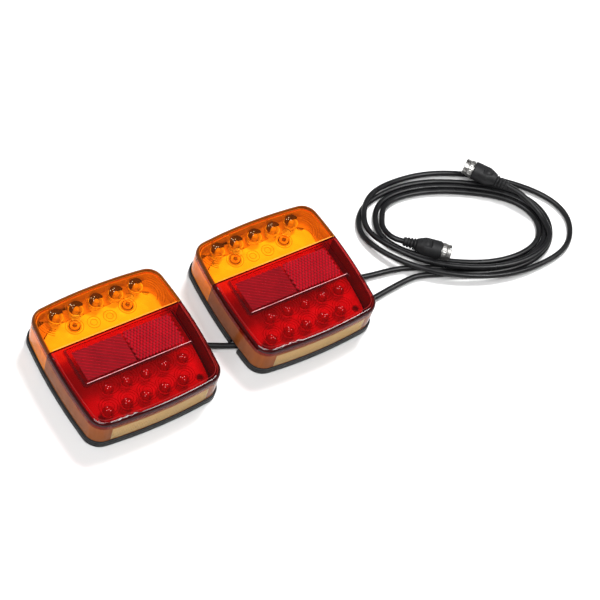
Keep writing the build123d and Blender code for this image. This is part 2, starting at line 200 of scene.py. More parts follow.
def add_bump(tree, height, depth, shader, strength=0.6):
    """Bump of a depth in metres from a height socket."""
    bump = add_node(tree, "ShaderNodeBump", Strength=strength, Distance=depth)
    tree.links.new(height, bump.inputs["Height"])
    tree.links.new(bump.outputs["Normal"], shader.inputs["Normal"])


def add_grain(material, size, depth, roughness, tints, stretch=(1.0, 1.0, 1.0)):
    """Surface grain, with blotches of roughness and clouds of colour between two limits."""
    tree = material.node_tree
    shader = tree.nodes["Principled BSDF"]
    grain = noise_of(tree, size, stretch=stretch)
    add_bump(tree, grain, depth, shader)
    blotches = noise_of(tree, 9 * size, 4.0, stretch)
    tree.links.new(spread(tree, blotches, 0.3, 0.7, *roughness), shader.inputs["Roughness"])
    clouds = noise_of(tree, 14 * size, 5.0)
    shade = mix_colours(tree, spread(tree, clouds, 0.35, 0.65), *tints)
    tree.links.new(shade, shader.inputs["Base Color"])
    return material


FACE_SHEEN = 0.018            # share of light that a flat face mirrors head on
EDGE_SHEEN = 0.034            # the same on a round edge
GLOSS_ROUGHNESS = 0.05
WALL_CHANGE = (21.0 * MM, 24.5 * MM)       # heights between which a wall turns into the face
WALL_REACH = (40.0 * MM, 42.0 * MM)        # from the lamp's middle to where the side walls begin
BORDER_REACH = (38.0 * MM, 46.0 * MM)      # the face is darker in this border
JOINT_REACH = (9.0 * MM, 13.5 * MM)        # and next to the joint of the two colours
EDGE_SLOPE = (0.9, 0.995)     # upward share of the normal, from a round edge to a flat face
DARK_CLOUD = 0.85             # of a body colour, where it is darkest
DARK_STREAK = 0.88
POST_ZONES = (                # heights where a lens post changes, and its finish below them
    ((25.5 * MM, 25.58 * MM), ((0.995, 0.86, 0.52), (0.80, 0.74, 0.56), 0.0)),
    ((16.6 * MM, 16.9 * MM), ((1.0, 1.0, 1.0), (0.80, 0.74, 0.56), 1.0)),
)
CLOUD_SIZE = 0.006            # of the faint clouds in the plastic and the waves of its skin
PATCH_SIZE = 0.011            # of the darker patches of the red face
STREAK_SIZE = 0.003           # of the upright streaks of the walls


def clear_plastic(name, face, side=None, edge=None, patches=None, edge_from=25.5):
    """Glossy tinted plastic. face, side, edge and patches are (tint of what shows through, body
    colour, share of body): side on the walls, edge where the surface slopes above edge_from, its
    dark colours a painted reflection of the dark base."""
    material = bpy.data.materials.new(name)
    material.use_nodes = True
    tree = material.node_tree
    body = tree.nodes["Principled BSDF"]
    body.inputs["Roughness"].default_value = 0.3
    body.inputs["Specular IOR Level"].default_value = 0.0
    glow = tree.nodes.new("ShaderNodeBsdfTranslucent")
    milk = add_node(tree, "ShaderNodeMixShader", Fac=0.45)
    tree.links.new(body.outputs[0], milk.inputs[1])
    tree.links.new(glow.outputs[0], milk.inputs[2])
    see = tree.nodes.new("ShaderNodeBsdfTransparent")
    inside = tree.nodes.new("ShaderNodeMixShader")
    place = tree.nodes.new("ShaderNodeTexCoord")
    split = tree.nodes.new("ShaderNodeSeparateXYZ")
    tree.links.new(place.outputs["Object"], split.inputs[0])
    clouds = noise_of(tree, CLOUD_SIZE)
    tint = (*face[0], 1.0)
    colour = mix_colours(tree, clouds, tuple(DARK_CLOUD * part for part in face[1]), face[1])
    share = face[2]
    zones = []
    sheen = FACE_SHEEN
    if side:
        height = spread(tree, split.outputs["Z"], *WALL_CHANGE, 1.0, 0.0)
        from_middle = math_of(tree, "ABSOLUTE", math_of(
            tree, "SUBTRACT", math_of(tree, "ABSOLUTE", split.outputs["X"]), LAMP_OFFSET * MM
        ))
        reach = math_of(tree, "MAXIMUM", from_middle, math_of(tree, "ABSOLUTE", split.outputs["Y"]))
        if patches:
            blotches = spread(tree, noise_of(tree, PATCH_SIZE, 4.0), 0.46, 0.62, 0.0, 0.6)
            border = spread(tree, reach, *BORDER_REACH)
            by_joint = spread(tree, split.outputs["Y"], *JOINT_REACH)
            darker = math_of(tree, "MAXIMUM", math_of(tree, "MAXIMUM", blotches, border), by_joint)
            zones.append((darker, patches))
        outer = spread(tree, reach, *WALL_REACH)
        zones.append((math_of(tree, "MULTIPLY", height, outer), side))
        inner = spread(tree, reach, *WALL_REACH, 1.0, 0.0)
        for change, finish in POST_ZONES:
            below = spread(tree, split.outputs["Z"], *change, 1.0, 0.0)
            zones.append((math_of(tree, "MULTIPLY", below, inner), finish))
    # painted reflection: the round edges are coloured darker, as if they mirror the dark base; their
    # extra sheen is real gloss
    if edge:
        surface = tree.nodes.new("ShaderNodeSeparateXYZ")
        tree.links.new(tree.nodes.new("ShaderNodeNewGeometry").outputs["Normal"], surface.inputs[0])
        slope = spread(tree, math_of(tree, "ABSOLUTE", surface.outputs["Z"]), *EDGE_SLOPE, 1.0, 0.0)
        height = spread(tree, split.outputs["Z"], (edge_from - 1.0) * MM, edge_from * MM)
        round_edge = math_of(tree, "MULTIPLY", slope, height)
        zones.append((round_edge, edge))
        sheen = blend(tree, "FLOAT", round_edge, sheen, EDGE_SHEEN)
    if zones:
        streaks = spread(tree, noise_of(tree, STREAK_SIZE, 3.0, (1.0, 1.0, 0.12)), 0.35, 0.65)
    for zone, (zone_tint, zone_colour, zone_share) in zones:
        tint = blend(tree, "RGBA", zone, tint, (*zone_tint, 1.0))
        dark = tuple(DARK_STREAK * part for part in zone_colour)
        streaked = mix_colours(tree, streaks, dark, zone_colour)
        colour = blend(tree, "RGBA", zone, colour, streaked)
        share = blend(tree, "FLOAT", zone, share, zone_share)
    feed(tree, tint, see.inputs["Color"])
    tree.links.new(colour, body.inputs["Base Color"])
    tree.links.new(colour, glow.inputs["Color"])
    feed(tree, share, inside.inputs["Fac"])
    tree.links.new(see.outputs[0], inside.inputs[1])
    tree.links.new(milk.outputs[0], inside.inputs[2])
    gloss = add_node(tree, "ShaderNodeBsdfGlossy", Roughness=GLOSS_ROUGHNESS)
    # more gloss at a shallow angle, the same on both sides of a surface
    facing = add_node(tree, "ShaderNodeLayerWeight", Blend=0.5).outputs["Facing"]
    fresnel = spread(tree, math_of(tree, "POWER", facing, 6.0), 0.0, 1.0)
    feed(tree, sheen, fresnel.node.inputs["To Min"])
    add_bump(tree, noise_of(tree, CLOUD_SIZE, 1.0), 0.00002, gloss, 0.5)
    skin = tree.nodes.new("ShaderNodeMixShader")
    tree.links.new(fresnel, skin.inputs["Fac"])
    tree.links.new(inside.outputs[0], skin.inputs[1])
    tree.links.new(gloss.outputs[0], skin.inputs[2])
    tree.links.new(skin.outputs[0], tree.nodes["Material Output"].inputs["Surface"])
    return material


# light crosses both faces of a lens twice, so each crossing takes the fourth root of its colour
AMBER_TINT = (0.99, 0.69, 0.20)
RED_TINT = (0.775, 0.16, 0.21)
looks = {
    "black_plastic": add_grain(
        new_material("base_plastic", Specular_IOR_Level=0.25), 0.0004, 0.00005,
        (0.42, 0.58), ((0.003, 0.003, 0.0035), (0.006, 0.006, 0.0065)),
    ),
    "seal_rubber": add_grain(
        new_material("seal_rubber", Specular_IOR_Level=0.3), 0.0003, 0.00004,
        (0.6, 0.8), ((0.005, 0.005, 0.005), (0.010, 0.010, 0.010)),
    ),
    "insert_brass": add_grain(
        new_material("insert_brass", Metallic=1.0), 0.0005, 0.00002,
        (0.2, 0.38), ((0.62, 0.42, 0.16), (0.78, 0.58, 0.27)), (1.0, 1.0, 0.12),
    ),
    "board_white": add_grain(
        new_material("solder_mask", Coat_Weight=0.3), 0.0009, 0.00003,
        (0.3, 0.42), ((0.70, 0.72, 0.69), (0.83, 0.84, 0.81)),
    ),
    "screw_steel": add_grain(
        new_material("zinc_steel", Metallic=1.0), 0.0004, 0.00002,
        (0.25, 0.42), ((0.50, 0.50, 0.49), (0.66, 0.65, 0.62)), (1.0, 1.0, 0.2),
    ),
    "resistor_black": add_grain(
        new_material("chip_ceramic", Specular_IOR_Level=0.4), 0.0003, 0.00002,
        (0.4, 0.55), ((0.02, 0.02, 0.022), (0.045, 0.045, 0.05)),
    ),
    "amber_diode": clear_plastic("amber_epoxy", ((1.0, 0.88, 0.6), (1.0, 0.85, 0.5), 0.75)),
    "red_diode": clear_plastic("red_epoxy", ((0.92, 0.3, 0.28), (1.0, 0.30, 0.25), 0.95)),
    "white_diode": clear_plastic("white_epoxy", ((0.95, 0.93, 0.8), (0.85, 0.75, 0.35), 0.4)),
    "tray_white": add_grain(
        new_material("tray_plastic", Specular_IOR_Level=0.5), 0.0012, 0.00003,
        (0.22, 0.34), ((0.80, 0.80, 0.77), (0.90, 0.90, 0.87)),
    ),
    # in the lenses and the reflector, the edge finish is painted darker as a reflection of the dark base
    "amber_lens": clear_plastic(
        "amber_acrylic",
        (AMBER_TINT, (0.92, 0.24, 0.003), 0.015),
        ((0.98, 0.55, 0.22), (0.88, 0.26, 0.010), 0.93),
        ((0.50, 0.20, 0.04), (0.13, 0.035, 0.003), 0.80),
    ),
    "red_lens": clear_plastic(
        "red_acrylic",
        (RED_TINT, (0.36, 0.002, 0.005), 0.03),
        ((0.8, 0.46, 0.28), (0.34, 0.105, 0.026), 0.92),
        ((0.30, 0.02, 0.03), (0.035, 0.0005, 0.001), 0.80),
        ((0.72, 0.115, 0.155), (0.20, 0.001, 0.004), 0.06),
    ),
    "clear_window": clear_plastic("window_acrylic", ((0.9, 0.83, 0.68), (0.74, 0.53, 0.24), 0.7)),
    "reflex_red": clear_plastic(
        "reflex_acrylic", ((0.90, 0.26, 0.32), (0.26, 0.003, 0.008), 0.06), None,
        ((0.55, 0.10, 0.12), (0.10, 0.001, 0.004), 0.35), edge_from=29.2,
    ),
    "cord_black": add_grain(
        new_material("cord_jacket", Specular_IOR_Level=0.2), 0.0006, 0.00004,
        (0.26, 0.38), ((0.0035, 0.0035, 0.004), (0.007, 0.007, 0.0075)),
    ),
    "plug_black": add_grain(
        new_material("plug_moulding", Specular_IOR_Level=0.2), 0.00035, 0.00004,
        (0.45, 0.6), ((0.005, 0.005, 0.0055), (0.010, 0.010, 0.0105)),
    ),
    "plug_nickel": add_grain(
        new_material("nickel_plate", Metallic=1.0), 0.0006, 0.00001,
        (0.30, 0.42), ((0.30, 0.295, 0.285), (0.40, 0.395, 0.38)), (1.0, 1.0, 0.3),
    ),
    "insulator_black": add_grain(
        new_material("insulator_nylon", Specular_IOR_Level=0.4), 0.0004, 0.00003,
        (0.4, 0.55), ((0.010, 0.010, 0.010), (0.02, 0.02, 0.02)),
    ),
    "pin_metal": add_grain(
        new_material("pin_plate", Metallic=1.0), 0.0004, 0.00001,
        (0.12, 0.25), ((0.74, 0.72, 0.66), (0.84, 0.82, 0.76)),
    ),
}
# finishes of pieces that only this scene has
# painted shade: dark crescents that stand for the shadowed inside of the amber cups
painted_cup_shade = add_grain(
    new_material("cup_painted_shade_sheet", Specular_IOR_Level=0.5), 0.0005, 0.00004,
    (0.5, 0.65), ((0.012, 0.005, 0.003), (0.03, 0.012, 0.006)),
)
# painted light and shade: a lit and a shaded copy of the prism red, for the two kinds of facet
prism_painted_lit = add_grain(
    new_material("prism_painted_lit_acrylic", Specular_IOR_Level=0.4), 0.0008, 0.00001,
    (0.2, 0.3), ((0.30, 0.028, 0.062), (0.38, 0.038, 0.080)),
)
prism_painted_shade = add_grain(
    new_material("prism_painted_shade", Specular_IOR_Level=0.3), 0.0008, 0.00001,
    (0.3, 0.4), ((0.095, 0.004, 0.010), (0.125, 0.006, 0.013)),
)
shelf_amber = add_grain(
    new_material("shelf_plastic", Specular_IOR_Level=0.5), 0.003, 0.00004,
    (0.25, 0.4), ((0.52, 0.34, 0.16), (0.62, 0.42, 0.22)),
)
joint_amber = add_grain(
    new_material("joint_acrylic", Specular_IOR_Level=0.3), 0.002, 0.00002,
    (0.25, 0.35), ((0.74, 0.20, 0.02), (0.90, 0.29, 0.04)),
)
# painted reflection: dark line where the amber lens edge mirrors the base
edge_painted_reflection = add_grain(
    new_material("edge_shade", Specular_IOR_Level=0.3), 0.002, 0.00002,
    (0.3, 0.4), ((0.10, 0.04, 0.025), (0.14, 0.055, 0.035)),
)
amber_relief = add_grain(
    new_material("amber_relief", Specular_IOR_Level=0.5), 0.001, 0.00001,
    (0.2, 0.3), ((0.28, 0.17, 0.08), (0.40, 0.26, 0.13)),
)
red_relief = add_grain(
    new_material("red_relief", Specular_IOR_Level=0.5), 0.001, 0.00001,
    (0.2, 0.3), ((0.42, 0.20, 0.20), (0.56, 0.26, 0.26)),
)
boss_relief = add_grain(
    new_material("boss_relief", Specular_IOR_Level=0.5), 0.001, 0.00001,
    (0.2, 0.3), ((0.55, 0.42, 0.26), (0.66, 0.50, 0.32)),
)
edge_relief = clear_plastic("edge_relief", ((0.9, 0.4, 0.36), (0.55, 0.05, 0.05), 0.5))
post_amber = add_grain(
    new_material("post_acrylic", Specular_IOR_Level=0.5), 0.0009, 0.00002,
    (0.2, 0.3), ((0.66, 0.54, 0.34), (0.78, 0.66, 0.44)),
)
# painted highlight: pale pink line on the near edge of the reflector's cover
cover_painted_highlight = add_grain(
    new_material("cover_edge_painted_highlight", Coat_Weight=0.2), 0.0012, 0.00002,
    (0.1, 0.2), ((0.66, 0.30, 0.32), (0.90, 0.60, 0.61)),
)
# painted glints: light specks on the face over the diodes
amber_painted_glint = add_grain(
    new_material("pip_amber_painted_glint", Coat_Weight=0.5), 0.0002, 0.00001,
    (0.1, 0.2), ((0.85, 0.66, 0.38), (0.98, 0.84, 0.60)),
)
red_painted_glint = add_grain(
    new_material("pip_red_painted_glint", Coat_Weight=0.5), 0.0002, 0.00001,
    (0.1, 0.2), ((0.62, 0.18, 0.20), (0.85, 0.36, 0.38)),
)

# ---------------------------------------------------------------- leads
CORD_DIAMETER = 4.2 * MM
ON_FLOOR = 2.15               # height of a lead's axis where it lies on the floor
COIL_CENTRE = (228.0, -1.0)
COIL_TILT = math.radians(-30.0)
COIL_HALF = (66.0, 33.5)      # the oval that a turn's offset is measured from
COIL_FULLNESS = 2.2           # 2 is an ellipse, more is squarer
COIL_STEP = 10                # degrees of turn between two points of a lead

LEADS = {
    "left": [
        (-36.25, -7.28, 5.0), (-29.05, -7.28, 5.0), (-21.05, -7.9, 2.6), (-9.25, -10.2, ON_FLOOR),
        (11.8, -20.8, ON_FLOOR), (34.0, -28.5, ON_FLOOR), (66.0, -32.0, ON_FLOOR),
        (98.0, -31.4, ON_FLOOR), (126.0, -29.1, ON_FLOOR), (147.0, -26.6, ON_FLOOR),
        (164.0, -25.4, ON_FLOOR),
    ],
    "right": [
        (94.25, -4.72, 5.0), (101.45, -4.72, 5.0), (109.45, -5.4, 2.6), (121.5, -8.0, ON_FLOOR),
        (137.0, -11.2, ON_FLOOR), (152.0, -13.2, ON_FLOOR), (162.5, -15.6, ON_FLOOR),
    ],
}
TAILS = {
    "left": [
        (275.2, 9.9, 12.0), (279.24, 4.18, 12.0), (283.2, -4.4, 10.4), (286.6, -13.4, 8.4),
        (288.2, -22.5, 6.6),
    ],
    "right": [
        (173.8, 2.2, 7.0), (170.39, 5.13, 7.0), (167.99, 8.97, 6.7), (166.8, 13.3, 6.2),
        (167.0, 18.2, 5.6), (168.7, 23.4, 5.0),
    ],
}
# how the loose turns wander: (degrees turned, offset from the oval, height of the centre)
TURNS = {
    "left": [
        (248, 20.0, 2.15), (256, 13.6, 2.15), (266, 10.6, 2.15), (285, 8.5, 2.15), (320, 3.2, 2.15),
        (346, 2.0, 2.15), (372, 4.2, 2.15), (408, 9.1, 2.15), (437, 6.6, 2.15), (474, 4.1, 2.15),
        (499, 3.1, 2.15), (516, 4.2, 2.15), (528, 8.2, 2.15), (543, 15.7, 2.15), (553, 18.1, 2.15),
        (563, 17.8, 2.6), (582, 15.8, 4.6), (596, 16.8, 6.6), (609, 17.0, 6.8), (625, 16.2, 6.0),
        (657, 10.9, 3.2), (680, 8.6, 2.15), (695, 10.6, 2.15), (723, 20.8, 2.15), (733, 22.6, 2.15),
        (748, 21.9, 2.15), (779, 15.6, 2.15), (809, 14.6, 2.15), (832, 11.4, 2.15), (851, 7.9, 3.2),
        (862, 7.4, 5.2), (874, 8.0, 6.6), (888, 9.4, 7.0), (900, 11.2, 6.6), (911, 12.6, 3.4),
        (918, 12.6, 2.6), (935, 8.4, 5.9), (958, 9.2, 6.6), (971, 10.2, 6.7), (992, 7.6, 5.85),
        (1020, 4.6, 5.85), (1040, 2.4, 6.3), (1062, 1.2, 6.4), (1080, 1.6, 6.4),
    ],
    "right": [
        (243, 15.0, 2.15), (250, 10.4, 2.15), (256, 8.2, 2.15), (272, 5.4, 2.15), (300, 1.9, 2.15),
        (320, -1.2, 2.15), (346, -2.6, 2.15), (372, -0.4, 2.15), (408, 4.7, 2.15), (437, 2.1, 2.15),
        (474, -0.3, 2.15), (497, -1.2, 2.15), (535, 0.9, 2.15), (548, 1.9, 2.15), (560, 4.2, 2.15),
        (571, 5.0, 2.15), (598, 3.4, 2.15), (632, 1.0, 2.15), (680, -5.6, 2.15), (706, -7.0, 2.15),
        (732, -4.8, 2.15), (768, 0.3, 2.15), (797, -2.4, 2.15), (834, -4.7, 2.15), (857, -5.6, 2.15),
        (872, -4.9, 2.6), (900, -3.2, 4.2),
    ],
}


def between(places, angle, column):
    """Value of a column of places at an angle, on a straight line between the two nearest."""
    for before, after in zip(places, places[1:]):
        if before[0] <= angle <= after[0]:
            share = (angle - before[0]) / (after[0] - before[0])
            return before[column] + share * (after[column] - before[column])
    return places[-1][column]


def eased(values):
    """Values with each one pulled half way to the mean of its neighbours, the ends kept."""
    middle = [(a + 2 * b + c) / 4 for a, b, c in zip(values, values[1:], values[2:])]
    return [values[0], *middle, values[-1]]


def on_oval(angle, offset):
    """Point of the coil's oval at an angle, grown by an offset."""
    across, along = math.cos(math.radians(angle)), math.sin(math.radians(angle))
    x = math.copysign(abs(across) ** (2 / COIL_FULLNESS), across) * (COIL_HALF[0] + offset)
    y = math.copysign(abs(along) ** (2 / COIL_FULLNESS), along) * (COIL_HALF[1] + offset)
    return (
        COIL_CENTRE[0] + x * math.cos(COIL_TILT) - y * math.sin(COIL_TILT),
        COIL_CENTRE[1] + x * math.sin(COIL_TILT) + y * math.cos(COIL_TILT),
    )


def coil_turns(places):
    """Points of a lead's loose turns, every COIL_STEP degrees."""
    angles = range(places[0][0], places[-1][0] + 1, COIL_STEP)
    offsets = [between(places, angle, 1) for angle in angles]
    heights = [between(places, angle, 2) for angle in angles]
    for _ in range(2):
        offsets = eased(offsets)
        heights = eased(heights)
    return [(*on_oval(a, offset), height) for a, offset, height in zip(angles, offsets, heights)]


def make_lead(side):
    """One lead from its lamp through the coil to its plug, as one smooth spline."""
    route = LEADS[side] + coil_turns(TURNS[side]) + TAILS[side][::-1]
    data = bpy.data.curves.new(f"{side}_lead_jacket", "CURVE")
    data.dimensions = "3D"
    spline = data.splines.new("NURBS")
    spline.points.add(len(route) - 1)
    for point, place in zip(spline.points, route):
        point.co = (*(Vector(place) * MM), 1.0)
    spline.order_u = 3
    spline.use_endpoint_u = True
    spline.resolution_u = 6
    data.bevel_depth = CORD_DIAMETER / 2
    data.bevel_resolution = 5
    data.use_fill_caps = True
    data.materials.append(looks["cord_black"])
    lead = bpy.data.objects.new(f"{side}_lead_jacket", data)
    bpy.context.scene.collection.objects.link(lead)
    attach(lead, "root")
    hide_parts(f"{side}_lead", f"{side}_lead_tail", "lead_coil")
    return lead


# ---------------------------------------------------------------- mesh helpers
def add_mesh(name, bm, material, body="root", sharp=35.0):
    """Piece from a bmesh in drawing millimetres, riding on a body."""
    bmesh.ops.recalc_face_normals(bm, faces=bm.faces)
    mesh = bpy.data.meshes.new(name)
    bm.to_mesh(mesh)
    bm.free()
    mesh.transform(Matrix.Scale(MM, 4))
    mesh.materials.append(material)
    mesh.shade_smooth()
    mesh.set_sharp_from_angle(angle=math.radians(sharp))
    piece = bpy.data.objects.new(name, mesh)
    bpy.context.scene.collection.objects.link(piece)
    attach(piece, body)
    return piece


def add_loops(bm, loops, closed=True, caps=True):
    """Skin over loops of points, each with the same count, with flat ends."""
    rings = [[bm.verts.new(point) for point in loop] for loop in loops]
    for low, high in zip(rings, rings[1:]):
        count = len(low)
        for i in range(count if closed else count - 1):
            j = (i + 1) % count
            bm.faces.new((low[i], low[j], high[j], high[i]))
    if caps:
        bm.faces.new(rings[0][::-1])
        bm.faces.new(rings[-1])


def on_circle(radius, turn, height, centre=(0.0, 0.0)):
    """Point of a level circle, its turn in radians."""
    return Vector((centre[0] + radius * math.cos(turn), centre[1] + radius * math.sin(turn), height))


def circle(radius, height, count, centre=(0.0, 0.0)):
    """Level ring of points."""
    return [on_circle(radius, 2 * math.pi * i / count, height, centre) for i in range(count)]


def lathe(bm, place, profile, count=40, caps=True):
    """Turned shape: profile is (radius, height) along the Z of a placing matrix."""
    loops = [[place @ point for point in circle(radius, height, count)] for radius, height in profile]
    add_loops(bm, loops, caps=caps)


def ridge(bm, path, radius, closed=False, sides=6):
    """Thin round bead along a level path."""
    loops = []
    count = len(path)
    for i, point in enumerate(path):
        before = path[i - 1] if closed or i else point
        after = path[(i + 1) % count] if closed or i < count - 1 else point
        along = (after - before).normalized()
        across = Vector((along.y, -along.x, 0.0))
        loop = []
        for k in range(sides):
            angle = 2 * math.pi * k / sides
            loop.append(point + radius * (math.cos(angle) * across + math.sin(angle) * UP))
        loops.append(loop)
    if closed:
        loops.append(loops[0])
    add_loops(bm, loops, caps=not closed)
    if closed:
        bmesh.ops.remove_doubles(bm, verts=bm.verts, dist=1e-5)


def arc(centre, radius, start, end, height, count=18):
    """Level arc of points, its angles in degrees."""
    turns = [math.radians(start + (end - start) * i / (count - 1)) for i in range(count)]
    return [on_circle(radius, turn, height, centre) for turn in turns]


# ---------------------------------------------------------------- lamps
LAMP_CENTRES = {"left": (-LAMP_OFFSET, -1.28), "right": (LAMP_OFFSET, 1.28)}
LAMP_HALF = (52.5, 52.0)
SIDE_BOW = 3.3
CORNER_RADIUS = 12.0
FACE = 28.0
FACE_INSIDE = 25.6
COLOUR_LINE = 15.2
AMBER_PITCH = 15.5
AMBER_ROW = 42.0
CUP_TOP = 20.5
TRAY_TOP = 15.5
SHADE_CRESCENT_RADIUS = 5.0
SHADE_CRESCENT_ARC = (6.0, 203.0)       # degrees that a painted shade crescent covers of its cup
SHADE_CRESCENT_HUB = 6.5                # middle of its inner curve, away from the chord
SHADE_CRESCENT_TOP = 22.6
SHELF_BOTTOM = 15.6
SHELF_EDGE = 16.3
SHELF_TOP = 16.8
LINER_TOP = 24.8              # wall liner that stands on the shelf
RED_PITCH = 14.5
RED_ROWS = ((-21.5, 4.0), (-36.5, -4.0))   # Y of the row, sideways shift of the row
POST_PLACE = (20.6, 33.0)
REFLEX_HALF = (43.0, 16.0)
REFLEX_Y = -3.0
REFLEX_TOP = 30.5
PRISM_BORDER = (5.2, 4.3)     # plain frame of the cover round the prisms, along X and Y
PRISM_FLOOR = FACE + 0.3
PRISM_TOP = FACE + 1.1
PRISM_PITCH = 2.5             # cube corners of the reflector
RIDGE_PITCH = 2.4             # slanting ridges of its other half
RIDGE_SLANT = -33.0
SHADE_INSET = 1.1             # dark line inside the lens edge, a painted reflection of the base
SHADE_WIDTH = 0.2
SHADE_BOTTOM = 24.4
SHADE_TOP = 27.0
PIP_RADIUS = 0.26
PIP_SINK = 0.12               # how far a pip's middle lies under the face


def outline_loop(inset, height, per_side=16, per_corner=8):
    """Lamp outline with bowed sides and round corners, moved inwards by inset."""
    width, length = LAMP_HALF[0] - inset, LAMP_HALF[1] - inset
    radius = max(CORNER_RADIUS - inset, 0.5)
    side_curve = ((length - SIDE_BOW) ** 2 + SIDE_BOW**2) / (2 * SIDE_BOW)
    end_curve = ((width - SIDE_BOW) ** 2 + SIDE_BOW**2) / (2 * SIDE_BOW)
    x, y = width - radius, length - radius
    for _ in range(20):
        x += side_curve - radius - math.hypot(x - width + side_curve, y)
        y += end_curve - radius - math.hypot(x, y - length + end_curve)
    tilt_x = math.atan2(y, x - width + side_curve)
    tilt_y = math.atan2(x, y - length + end_curve)
    quarter = []
    for i in range(per_side):
        turn = tilt_x * i / per_side
        quarter.append((width + side_curve * (math.cos(turn) - 1), side_curve * math.sin(turn)))
    for i in range(per_corner + 1):
        turn = tilt_x + (math.pi / 2 - tilt_y - tilt_x) * i / per_corner
        quarter.append((x + radius * math.cos(turn), y + radius * math.sin(turn)))
    for i in range(1, per_side):
        turn = tilt_y * (1 - i / per_side)
        quarter.append((end_curve * math.sin(turn), length + end_curve * (math.cos(turn) - 1)))
    half = quarter + [(0.0, length)] + [(-px, py) for px, py in quarter[:0:-1]]
    whole = half + [(-px, -py) for px, py in half]
    return [Vector((px, py, height)) for px, py in whole]


def lamp_frame(side):
    """Matrix from a lamp's own millimetres to the drawing's."""
    return Matrix.Translation((*LAMP_CENTRES[side], 0.0))


def add_lamp_piece(side, name, bm, material, sharp=35.0):
    """Piece of one lamp from a bmesh in the lamp's own millimetres."""
    bm.transform(lamp_frame(side))
    return add_mesh(f"{side}_{name}", bm, material, sharp=sharp)


def level_copy(points, height):
    """Points moved to one height."""
    return [Vector((point.x, point.y, height)) for point in points]


def make_shelf(side):
    """Amber shelf round three sides of the upper chamber, with a niche at every diode."""
    inner = [Vector((-46.8, COLOUR_LINE + 0.6, 0.0))]
    inner += arc((-37.5, 31.5), 8.6, 180.0, 100.0, 0.0, 10)
    for i in range(-2, 3):
        inner += arc((AMBER_PITCH * i + 0.3, AMBER_ROW - 0.9), 5.5, 208.0, -25.0, 0.0, 20)
    inner += arc((33.0, 29.5), 9.5, 85.0, 0.0, 0.0, 12)
    inner += arc((33.0, 25.5), 9.5, 0.0, -60.0, 0.0, 8)
    inner.append(Vector((38.5, COLOUR_LINE + 0.6, 0.0)))
    # the outer edge follows the lens wall, one point for each point of the inner edge
    wall = [point for point in outline_loop(2.9, 0.0) if point.y > COLOUR_LINE + 0.6]
    wall.sort(key=lambda point: -math.atan2(point.y, point.x))
    count = len(inner)
    outer = []
    for i in range(count):
        place = (len(wall) - 1) * i / (count - 1)
        low = min(int(place), len(wall) - 2)
        outer.append(wall[low].lerp(wall[low + 1], place - low))
    bm = bmesh.new()
    back = [point - Vector((point.x, point.y, 0.0)).normalized() * 0.5 for point in outer]
    loops = [
        level_copy(inner, SHELF_BOTTOM), level_copy(inner, SHELF_EDGE), level_copy(back, SHELF_TOP),
        level_copy(back, LINER_TOP), level_copy(outer, LINER_TOP), level_copy(outer, SHELF_BOTTOM),
        level_copy(inner, SHELF_BOTTOM),
    ]
    add_loops(bm, loops, closed=False, caps=False)
    bmesh.ops.remove_doubles(bm, verts=bm.verts, dist=1e-4)
    bmesh.ops.holes_fill(bm, edges=bm.edges, sides=8)
    add_lamp_piece(side, "amber_shelf", bm, shelf_amber)


def make_shade_crescents(side):
    """Dark crescent of painted shade on each amber cup, thickest on its upper side, where the cup's
    inside lies in shadow.
    """
    bm = bmesh.new()
    for i in range(-2, 3):
        centre = (AMBER_PITCH * i + 0.7, AMBER_ROW + 0.4)
        outer = arc(centre, SHADE_CRESCENT_RADIUS, *SHADE_CRESCENT_ARC, 0.0, 22)
        middle = (outer[0] + outer[-1]) / 2
        away = Vector((outer[-1].y - outer[0].y, outer[0].x - outer[-1].x, 0.0)).normalized()
        hub = middle - away * SHADE_CRESCENT_HUB
        reach = (outer[0] - hub).length
        first = math.atan2(outer[0].y - hub.y, outer[0].x - hub.x)
        last = math.atan2(outer[-1].y - hub.y, outer[-1].x - hub.x)
        inner = arc(hub, reach, math.degrees(first), math.degrees(last), 0.0, 22)
        crescent = outer + inner[-2:0:-1]
        add_loops(bm, [level_copy(crescent, height) for height in (CUP_TOP - 0.2, SHADE_CRESCENT_TOP)])
    add_lamp_piece(side, "diode_shade_crescents", bm, painted_cup_shade)


def make_amber_relief(side):
    """Rings over the diodes and posts and ripples at both ends, inside the amber face."""
    bm = bmesh.new()
    for i in range(-2, 3):
        for radius in (6.4, 7.5):
            middle = (AMBER_PITCH * i - 0.6, AMBER_ROW - 1.0)
            ridge(bm, arc(middle, radius, 95.0, 285.0, FACE_INSIDE - 0.2, 30), 0.2)
    for radius in (11.0, 12.8, 14.6, 16.2):
        ridge(bm, arc((-31.0, 40.0), radius, 178.0, 236.0, FACE_INSIDE - 0.25, 24), 0.24)
    for radius in (9.5, 11.3, 13.1, 14.9):
        ridge(bm, arc((31.0, 31.0), radius, -48.0, 52.0, FACE_INSIDE - 0.25, 24), 0.24)
    add_lamp_piece(side, "amber_relief", bm, amber_relief)


def make_red_relief(side):
    """Lens rings over the red diodes, inside the red face."""
    bm = bmesh.new()
    for y, shift in RED_ROWS:
        for i in range(-2, 3):
            for radius in (3.4, 5.4, 7.2):
                ridge(bm, circle(radius, FACE_INSIDE - 0.2, 36, (RED_PITCH * i + shift, y)), 0.2, True)
    add_lamp_piece(side, "red_relief", bm, red_relief)


